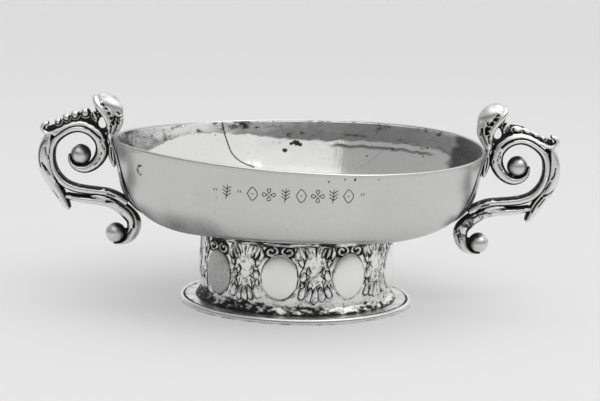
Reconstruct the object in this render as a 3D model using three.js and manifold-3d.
// A two-handled silver collection cup: a wide shallow bowl on a chased drum foot, with a pair of
// cast scroll handles. Millimetres, +Z up. The origin is the centre of the base's underside, the
// handles lie along X, and the front of the cup faces -Y.
import * as THREE from "three";
import { mergeVertices } from "three/addons/utils/BufferGeometryUtils.js";
import Module from "manifold-3d";

const wasm = await Module();
wasm.setup();

// Driving dimensions. Every other length in this file follows from these.
const SEAM = 0.3; // solder seam between two neighbouring pieces
const RIM_RADIUS = 75; // outer radius of the bowl at its lip
const BOWL_DEPTH = 33.5; // from the lip down to the bowl's underside at the foot
const BOWL_SHEET = 1.0; // thickness of the raised silver
const LIP_WIDTH = 0.9; // flat top of the lip
const WALL_LEAN = 7.7; // how far the wall's upper tangent leans in
const WALL_DROP = 25.3; // how far down that tangent reaches
const WALL_BELLY = 6.4; // how far inside the lip the floor turns up into the wall

const FLANGE_MARGIN = 6.7; // how far the foot's flat ring stands out past the drum
const FLANGE_HEIGHT = 2.1;
const FLANGE_LIP = 0.7; // thin outer lip that the border wire lies on
const WIRE_WIDTH = 1.8; // half-round border wire
const WIRE_HEIGHT = 1.7;
const UPSTAND_HEIGHT = 1.5; // low ring of the flange that centres the drum
const UPSTAND_WIDTH = 0.9;

const DRUM_RADIUS = 38.8;
const DRUM_HEIGHT = 26.9;
const DRUM_SHEET = 1.0;
const DRUM_FLARE = 1.7; // how far the drum's foot spreads
const FLARE_HEIGHT = 3.4;
const COLLAR_HEIGHT = 1.7; // plain strip between the drum and the bowl
const COLLAR_STEP = 0.5; // how far the strip stands out from the drum

const BOSS_COUNT = 8; // plain oval bosses round the drum
const BOSS_WIDTH = 14;
const BOSS_HEIGHT = 17.3;
const BOSS_RISE = 1.0;
const BOSS_BOTTOM = 5.6; // from the drum's foot up to the oval's lower end
const FIRST_BOSS = THREE.MathUtils.degToRad(-101.5); // the oval left of the front

const SCROLL_THICKNESS = 7; // along Y, as are the other handle thicknesses
const LEAF_THICKNESS = 6;
const TAIL_THICKNESS = 7.4;
const CREST_THICKNESS = 3;
const HERM_THICKNESS = 6.6;
const STRAP_WIDTH = 11;
const STRAP_SWELL = 2.3; // the backing strap's greatest thickness, under the limbs
const STRAP_EDGE = 0.9; // and at its two ends
const EASED_EDGE = 1.1; // rounding of the cast limbs' edges
const VOLUTE_BALL_RADIUS = 4.0;
const TAIL_BALL_RADIUS = 4.2;
const HEAD_RADIUS = 5;
const PEG_RADIUS = 0.8; // pegs that pin the cast pieces to each other
const PEG_GRIP = 1.3; // how deep a peg goes into its neighbour
const PEG_ROOT = 2.4; // and how much of it lies in its own piece and the seam

const ROUND_SIDES = 60; // facets round the bowl and the foot
const WALL_STEPS = 10; // facets down the bowl's wall

// Heights that follow from the stack of pieces.
const FLANGE_TOP = FLANGE_HEIGHT;
const DRUM_TOP = FLANGE_TOP + DRUM_HEIGHT;
const COLLAR_TOP = DRUM_TOP + COLLAR_HEIGHT;
const BOWL_BASE = COLLAR_TOP + SEAM;
const RIM_TOP = BOWL_BASE + BOWL_DEPTH;
const COLLAR_RADIUS = DRUM_RADIUS + COLLAR_STEP;
const DRUM_BORE = DRUM_RADIUS - DRUM_SHEET;
const FLANGE_RADIUS = DRUM_RADIUS + DRUM_FLARE + FLANGE_MARGIN;

// Centre lines of one handle, as [out from the lip, up from the lip, half width].
const SCROLL_LINE = [
  [18, -7, 0.5], [17.1, -10.4, 0.95], [14.4, -12.4, 1.45], [11.2, -12.7, 1.9],
  [8.2, -11.3, 2.2], [5.9, -8.8, 2.5], [4.6, -5.5, 2.75], [5.0, -2.1, 2.6],
  [6.6, 1.2, 2.9], [10, 3.3, 2.45], [14.2, 4.1, 2.2], [18.4, 3.1, 2.2],
  [22.2, 0.4, 2.1], [24.4, -3.3, 1.7], [24.9, -7.9, 1.5], [24.2, -12.3, 1.55],
  [22.2, -16.2, 1.7], [19, -19.2, 1.8], [15, -20.8, 1.8], [10.5, -21.5, 1.75],
  [6, -21.9, 1.7], [2, -22.4, 1.7], [-2, -23.9, 1.8], [-6, -26.3, 1.8],
];
const HOOK_LINE = [
  [18, 4.6, 0.9], [22, 2.9, 0.9], [25.2, 1.4, 0.85], [27.6, 1.5, 0.8],
  [29.1, 3.2, 0.8], [28.4, 5.1, 0.75], [26.4, 5.7, 0.6],
];
const LEAF_LINE = [
  [26.9, 0.5, 0.7], [27.9, -2.9, 1.6], [28.5, -7.3, 2.0], [28.2, -11.5, 2.2],
  [26.8, -15.5, 2.2], [24.4, -19.1, 2.2], [21.6, -22.7, 2.0], [19.8, -25.9, 1.6],
  [18.4, -28.7, 0.6],
];
const TAIL_LINE = [
  [19, -23.9, 1.2], [15, -24.8, 1.6], [10, -25.4, 1.8], [5, -25.8, 1.9],
  [1, -26.4, 2.3], [-2.6, -27.9, 2.6], [-5.6, -30.1, 2.8], [-8.3, -33.2, 2.9],
  [-8.6, -36.6, 2.8], [-7.2, -40.3, 2.1], [-4.7, -42.4, 1.05], [-2.2, -43.1, 0.5],
  [-0.4, -43, 0.3],
];
const WEB_LINE = [
  [6.6, 6.2, 2.2], [11.4, 8.4, 1.9], [15.6, 8, 1.6], [19.1, 6.8, 1.4],
  [22.4, 5.1, 1.2], [24.4, 3.9, 0.8],
];
const HERM_LINE = [
  [1.8, 12.6, 4.2], [0.2, 9.6, 3.9], [-0.3, 6.5, 3.1], [0.6, 3.5, 2.4], [1.3, 0.8, 1.7],
  [0.8, -2.6, 1.2], [0.2, -6.6, 1.0], [-0.5, -10.4, 0.5],
];
// Beads of the crest, as [out, up, radius], and the long one by the bust's chin.
const CREST_BEADS = [
  [11.4, 10.1, 1.9], [15.6, 9.2, 1.6], [19.1, 8.1, 1.45], [22.4, 6.2, 1.25],
];
const LONG_BEAD = { out: 7.3, up: 8.7, radius: 1.2, stretch: 1.7, tilt: 0.5 };
// Each ball's place, and the way its peg turns.
const VOLUTE_BALL = { out: 13.3, up: -7.3, turn: THREE.MathUtils.degToRad(-112) };
const TAIL_BALL = { out: -1.3, up: -38.9, turn: THREE.MathUtils.degToRad(176) };
const CREST_PEG = { out: 13.6, up: 8.6 };
const LEAF_PEG = { out: 28.5, up: -7.6 };
const TAIL_PEG = { out: 9, up: -25.6 };
const BUST_PEG = { out: 1.4, up: -3 };
const HEAD = { out: 2.9, up: 14.1, tilt: -0.3, length: 1.17, breadth: 0.88 };
// The strap's outline seen from its own side, as [share of the way down, share of full width].
const STRAP_OUTLINE = [
  [0, 0.72], [0.14, 0.5], [0.3, 0.56], [0.42, 1], [0.54, 0.66],
  [0.72, 0.72], [0.86, 0.45], [1, 0.06],
];
const STRAP_REACH = 0.66; // how far down the wall's curve the strap runs

const silver = (colour, roughness) =>
  new THREE.MeshStandardMaterial({ color: colour, roughness, metalness: 1 });
const BOWL_SILVER = silver(0xd6d6d4, 0.34);
const FOOT_SILVER = silver(0xc9c9c7, 0.36);
const CHASED_SILVER = silver(0xa9a9a8, 0.42);
const CAST_SILVER = silver(0xc2c2c0, 0.3);
const BALL_SILVER = silver(0xdededc, 0.22);

// A closed geometry as a solid that can be joined and cut.
function solid(geometry) {
  const bare = geometry.clone();
  bare.deleteAttribute("normal");
  bare.deleteAttribute("uv");
  const merged = mergeVertices(bare, 1e-4);
  return new wasm.Manifold(new wasm.Mesh({
    numProp: 3,
    vertProperties: merged.attributes.position.array,
    triVerts: new Uint32Array(merged.index.array),
  }));
}

// A named sub-part of the cup made from a solid.
function piece(name, body, material) {
  const mesh = body.getMesh();
  const geometry = new THREE.BufferGeometry();
  geometry.setAttribute("position", new THREE.BufferAttribute(mesh.vertProperties, 3));
  geometry.setIndex(new THREE.BufferAttribute(mesh.triVerts, 1));
  geometry.computeVertexNormals();
  const part = new THREE.Mesh(geometry, material);
  part.name = name;
  return part;
}

// A solid of revolution about the cup's axis, from a closed profile of [radius, height].
function turned(profile, sides = ROUND_SIDES) {
  const points = profile.map(([radius, height]) => new THREE.Vector2(radius, height));
  const lathe = new THREE.LatheGeometry(points, sides);
  return solid(lathe.rotateX(Math.PI / 2));
}

// The same for a ring, whose profile goes round and comes back to its first point.
const ring = (profile) => turned([...profile, profile[0]]);

// The bowl's outer wall, from the lip down to the foot joint, as one curve.
const wallCurve = new THREE.CubicBezierCurve(
  new THREE.Vector2(RIM_RADIUS, RIM_TOP),
  new THREE.Vector2(RIM_RADIUS - WALL_LEAN, RIM_TOP - WALL_DROP),
  new THREE.Vector2(RIM_RADIUS - WALL_BELLY, BOWL_BASE),
  new THREE.Vector2(COLLAR_RADIUS, BOWL_BASE),
);

// A point of the wall at t, moved out of the silver by the given distance.
function wallPoint(t, outward) {
  const point = wallCurve.getPoint(t);
  const along = wallCurve.getTangent(t);
  return [point.x - along.y * outward, point.y + along.x * outward];
}

function wallProfile(outward, steps) {
  const profile = [];
  for (let i = 0; i <= steps; i += 1) profile.push(wallPoint(i / steps, outward));
  return profile;
}

function makeBowl() {
  const outer = wallProfile(0, WALL_STEPS);
  const inner = wallProfile(-BOWL_SHEET, WALL_STEPS).slice(1).reverse();
  return turned([
    [0, BOWL_BASE],
    ...outer.reverse(),
    [RIM_RADIUS - LIP_WIDTH, RIM_TOP],
    ...inner.reverse(),
    [0, BOWL_BASE + BOWL_SHEET],
  ]);
}

// All the space that the bowl fills, grown by the seam, for cutting what is soldered to it.
function makeBowlCutter() {
  const outer = wallProfile(SEAM, 20);
  const top = RIM_TOP + SEAM;
  return turned([
    [0, BOWL_BASE - SEAM],
    ...outer.reverse(),
    [outer[outer.length - 1][0], top],
    [0, top],
  ], 2 * ROUND_SIDES);
}

function makeFlange() {
  const shelf = FLANGE_RADIUS - WIRE_WIDTH;
  const upstand = DRUM_BORE - SEAM;
  return ring([
    [upstand - UPSTAND_WIDTH, 0],
    [FLANGE_RADIUS, 0],
    [FLANGE_RADIUS, FLANGE_LIP],
    [shelf - SEAM, FLANGE_LIP],
    [shelf - SEAM, FLANGE_TOP],
    [upstand, FLANGE_TOP],
    [upstand, FLANGE_TOP + UPSTAND_HEIGHT],
    [upstand - UPSTAND_WIDTH, FLANGE_TOP + UPSTAND_HEIGHT],
  ]);
}

// A half-round wire that lies on the flange's thin outer lip.
function makeBorderWire() {
  const middle = FLANGE_RADIUS - WIRE_WIDTH / 2;
  const steps = 5;
  const profile = [];
  for (let i = 0; i <= steps; i += 1) {
    const angle = (i / steps) * Math.PI;
    const across = (WIRE_WIDTH / 2) * Math.cos(angle);
    profile.push([middle + across, FLANGE_LIP + WIRE_HEIGHT * Math.sin(angle)]);
  }
  return ring(profile);
}

function makeBoss(angle) {
  const dome = new THREE.SphereGeometry(1, 12, 10);
  dome.scale(BOSS_RISE * 2, BOSS_WIDTH / 2, BOSS_HEIGHT / 2);
  dome.translate(DRUM_RADIUS - BOSS_RISE, 0, FLANGE_TOP + BOSS_BOTTOM + BOSS_HEIGHT / 2);
  return solid(dome.rotateZ(angle));
}

function makeDrum() {
  const flared = DRUM_RADIUS + DRUM_FLARE;
  const shell = ring([
    [DRUM_BORE, FLANGE_TOP],
    [flared, FLANGE_TOP],
    [flared - DRUM_FLARE * 0.3, FLANGE_TOP + FLARE_HEIGHT * 0.3],
    [DRUM_RADIUS, FLANGE_TOP + FLARE_HEIGHT],
    [DRUM_RADIUS, DRUM_TOP],
    [DRUM_BORE, DRUM_TOP],
  ]);
  const bore = turned([
    [0, FLANGE_TOP - 1], [DRUM_BORE, FLANGE_TOP - 1], [DRUM_BORE, DRUM_TOP + 1], [0, DRUM_TOP + 1],
  ]);
  let drum = shell;
  for (let i = 0; i < BOSS_COUNT; i += 1) {
    const turn = FIRST_BOSS + (i * 2 * Math.PI) / BOSS_COUNT;
    drum = drum.add(makeBoss(turn));
  }
  return drum.subtract(bore);
}

// The plain strip over the drum, with a step that centres it in the drum's bore.
function makeCollar() {
  const spigot = DRUM_BORE - SEAM;
  return ring([
    [spigot - UPSTAND_WIDTH, DRUM_TOP - UPSTAND_HEIGHT],
    [spigot, DRUM_TOP - UPSTAND_HEIGHT],
    [spigot, DRUM_TOP],
    [COLLAR_RADIUS, DRUM_TOP],
    [COLLAR_RADIUS, COLLAR_TOP],
    [spigot - UPSTAND_WIDTH, COLLAR_TOP],
  ]);
}

// The closed outline of a ribbon that follows a centre line of [out, up, half width].
function ribbonShape(line, grow, perSpan = 2) {
  const knots = line.map(([out, up, half]) =>
    new THREE.Vector3(RIM_RADIUS + out, RIM_TOP + up, half + grow));
  const curve = new THREE.CatmullRomCurve3(knots, false, "centripetal");
  const steps = (line.length - 1) * perSpan;
  const left = [];
  const right = [];
  for (let i = 0; i <= steps; i += 1) {
    const middle = curve.getPoint(i / steps);
    const along = curve.getTangent(i / steps);
    const length = Math.hypot(along.x, along.y);
    const normal = new THREE.Vector2(-along.y / length, along.x / length);
    const shift = i === 0 ? -grow : i === steps ? grow : 0;
    const base = new THREE.Vector2(
      middle.x + (along.x / length) * shift, middle.y + (along.y / length) * shift);
    left.push(base.clone().addScaledVector(normal, middle.z));
    right.push(base.clone().addScaledVector(normal, -middle.z));
  }
  return new THREE.Shape([...left, ...right.reverse()]);
}

// A cast limb: a ribbon in the handle's plane, given thickness along Y, with eased edges.
function limb(line, thickness, grow = 0, perSpan = 2) {
  const thinnest = Math.min(...line.map(([, , half]) => half)) + grow;
  const ease = Math.min(EASED_EDGE, thinnest * 0.8);
  const depth = thickness + 2 * grow - 2 * ease;
  const geometry = new THREE.ExtrudeGeometry(ribbonShape(line, grow, perSpan), {
    depth, steps: 1, bevelEnabled: true, bevelThickness: ease, bevelSize: ease,
    bevelOffset: -ease, bevelSegments: 1,
  });
  geometry.translate(0, 0, -depth / 2);
  return solid(geometry.rotateX(Math.PI / 2));
}

// A ball at a place of the handle's plane.
function ball(place, radius, grow = 0, sides = 16) {
  const sphere = new THREE.SphereGeometry(radius + grow, sides, sides * 0.75);
  sphere.rotateX(Math.PI / 2);
  return solid(sphere.translate(RIM_RADIUS + place.out, 0, RIM_TOP + place.up));
}

// A peg in the handle's plane, which starts at a place and points the given way.
function peg({ place, turn, reach }, grow = 0) {
  const rod = new THREE.CylinderGeometry(PEG_RADIUS + grow, PEG_RADIUS + grow, reach + grow, 10);
  rod.translate(0, (reach + grow) / 2, 0);
  rod.rotateZ(turn - Math.PI / 2);
  rod.rotateX(Math.PI / 2);
  return solid(rod.translate(RIM_RADIUS + place.out, 0, RIM_TOP + place.up));
}

// Each peg starts inside its own piece and ends inside the neighbour that carries it.
const PEGS = {
  volute_ball: {
    place: VOLUTE_BALL, turn: VOLUTE_BALL.turn, reach: VOLUTE_BALL_RADIUS + SEAM + PEG_GRIP,
  },
  tail_ball: { place: TAIL_BALL, turn: TAIL_BALL.turn, reach: TAIL_BALL_RADIUS + SEAM + PEG_GRIP },
  crest: { place: CREST_PEG, turn: -Math.PI / 2, reach: PEG_ROOT + PEG_GRIP },
  leaf: { place: LEAF_PEG, turn: Math.PI, reach: PEG_ROOT + PEG_GRIP },
  tail: { place: TAIL_PEG, turn: Math.PI / 2, reach: PEG_ROOT + PEG_GRIP },
  bust: { place: BUST_PEG, turn: 0, reach: 2 * PEG_GRIP },
};
const pegOf = (name, grow) => peg(PEGS[name], grow);

// The strap's side section: it follows the wall and swells under the limbs.
function strapSection(grow) {
  const steps = 14;
  const outside = [];
  const inside = [];
  for (let i = 0; i <= steps; i += 1) {
    const way = i / steps;
    const swell = Math.sin(Math.PI * Math.min(1, way * 1.1)) ** 2;
    const thickness = STRAP_EDGE + (STRAP_SWELL - STRAP_EDGE) * swell;
    outside.push(new THREE.Vector2(...wallPoint(way * STRAP_REACH, thickness + SEAM + grow)));
    inside.push(new THREE.Vector2(...wallPoint(way * STRAP_REACH, -BOWL_SHEET)));
  }
  return new THREE.Shape([...outside, ...inside.reverse()]);
}

// Its outline seen from outside, cusped at the limbs and pointed below.
function strapOutline(grow) {
  const top = wallPoint(0, 0)[1] + grow;
  const tip = wallPoint(STRAP_REACH, 0)[1] - SEAM - STRAP_SWELL - grow;
  const right = STRAP_OUTLINE.map(([way, share]) =>
    new THREE.Vector2((share * STRAP_WIDTH) / 2 + grow, top + (tip - top) * way));
  const left = right.map((point) => new THREE.Vector2(-point.x, point.y)).reverse();
  return new THREE.Shape([...right, ...left]);
}

function makeStrap(grow) {
  const width = STRAP_WIDTH + 2 * grow;
  const side = new THREE.ExtrudeGeometry(strapSection(grow), {
    depth: width, steps: 1, bevelEnabled: false,
  });
  side.translate(0, 0, -width / 2);
  const front = new THREE.ExtrudeGeometry(strapOutline(grow), {
    depth: RIM_RADIUS, steps: 1, bevelEnabled: false,
  });
  front.applyMatrix4(new THREE.Matrix4().makeBasis(
    new THREE.Vector3(0, 1, 0), new THREE.Vector3(0, 0, 1), new THREE.Vector3(1, 0, 0)));
  front.translate(RIM_RADIUS / 2, 0, 0);
  return solid(side.rotateX(Math.PI / 2)).intersect(solid(front));
}

// The scroll with the hook that its outer rib runs into.
function makeScroll(grow) {
  const band = limb(SCROLL_LINE, SCROLL_THICKNESS, grow);
  const hook = limb(HOOK_LINE, SCROLL_THICKNESS - 2 * EASED_EDGE, grow);
  return band.add(hook);
}

function makeHead() {
  const skull = new THREE.SphereGeometry(HEAD_RADIUS, 16, 12);
  skull.scale(HEAD.length, 1, HEAD.breadth);
  skull.rotateY(HEAD.tilt);
  return solid(skull.translate(RIM_RADIUS + HEAD.out, 0, RIM_TOP + HEAD.up));
}

function makeCrest() {
  let crest = limb(WEB_LINE, CREST_THICKNESS);
  for (const [out, up, radius] of CREST_BEADS) crest = crest.add(ball({ out, up }, radius, 0, 8));
  const long = new THREE.SphereGeometry(LONG_BEAD.radius, 8, 6);
  long.scale(1, 1, LONG_BEAD.stretch);
  long.rotateY(LONG_BEAD.tilt);
  long.translate(RIM_RADIUS + LONG_BEAD.out, 0, RIM_TOP + LONG_BEAD.up);
  return crest.add(solid(long));
}

// One handle's pieces, in the +X half of the cup. Each is cut back from what carries it.
function handlePieces(side, bowlCutter) {
  const name = (part) => "handle_" + side + "_" + part;
  const strapCutter = makeStrap(SEAM);
  const scrollCutter = makeScroll(SEAM);
  const leafCutter = limb(LEAF_LINE, LEAF_THICKNESS, SEAM);
  const hermCutter = limb(HERM_LINE, HERM_THICKNESS, SEAM);
  const voluteBall = ball(VOLUTE_BALL, VOLUTE_BALL_RADIUS);
  const tailBall = ball(TAIL_BALL, TAIL_BALL_RADIUS);
  const trimmed = (body) => body.subtract(bowlCutter).subtract(strapCutter);

  const strap = makeStrap(0).subtract(bowlCutter);
  let scroll = trimmed(makeScroll(0));
  scroll = scroll.subtract(ball(VOLUTE_BALL, VOLUTE_BALL_RADIUS, SEAM));
  for (const part of ["volute_ball", "crest", "leaf", "tail", "bust"]) {
    scroll = scroll.subtract(pegOf(part, SEAM));
  }
  const leaf = limb(LEAF_LINE, LEAF_THICKNESS).subtract(scrollCutter).add(pegOf("leaf", 0));
  let tail = trimmed(limb(TAIL_LINE, TAIL_THICKNESS));
  tail = tail.subtract(scrollCutter).subtract(leafCutter);
  tail = tail.subtract(ball(TAIL_BALL, TAIL_BALL_RADIUS, SEAM)).subtract(pegOf("tail_ball", SEAM));
  tail = tail.add(pegOf("tail", 0));
  let bust = limb(HERM_LINE, HERM_THICKNESS).add(makeHead());
  bust = trimmed(bust).subtract(scrollCutter).add(pegOf("bust", 0));
  const headCutter = makeHead();
  let crest = makeCrest().subtract(scrollCutter).subtract(hermCutter).subtract(headCutter);
  crest = crest.add(pegOf("crest", 0));
  return [
    piece(name("strap"), strap, CAST_SILVER),
    piece(name("scroll"), scroll, CAST_SILVER),
    piece(name("leaf"), leaf, CAST_SILVER),
    piece(name("tail_scroll"), tail, CAST_SILVER),
    piece(name("bust"), bust, CAST_SILVER),
    piece(name("beaded_crest"), crest, CAST_SILVER),
    piece(name("volute_ball"), voluteBall.add(pegOf("volute_ball", 0)), BALL_SILVER),
    piece(name("tail_ball"), tailBall.add(pegOf("tail_ball", 0)), BALL_SILVER),
  ];
}

function makeHandle(side, turn, bowlCutter) {
  const handle = new THREE.Group();
  handle.add(...handlePieces(side, bowlCutter));
  handle.rotation.z = turn;
  return handle;
}

function makeCup() {
  const cup = new THREE.Group();
  const bowlCutter = makeBowlCutter();
  cup.add(
    piece("bowl", makeBowl(), BOWL_SILVER),
    piece("drum_collar", makeCollar(), FOOT_SILVER),
    piece("foot_drum", makeDrum(), CHASED_SILVER),
    piece("foot_flange", makeFlange(), FOOT_SILVER),
    piece("foot_border_wire", makeBorderWire(), FOOT_SILVER),
    makeHandle("right", 0, bowlCutter),
    makeHandle("left", Math.PI, bowlCutter),
  );
  return cup;
}

export default makeCup();
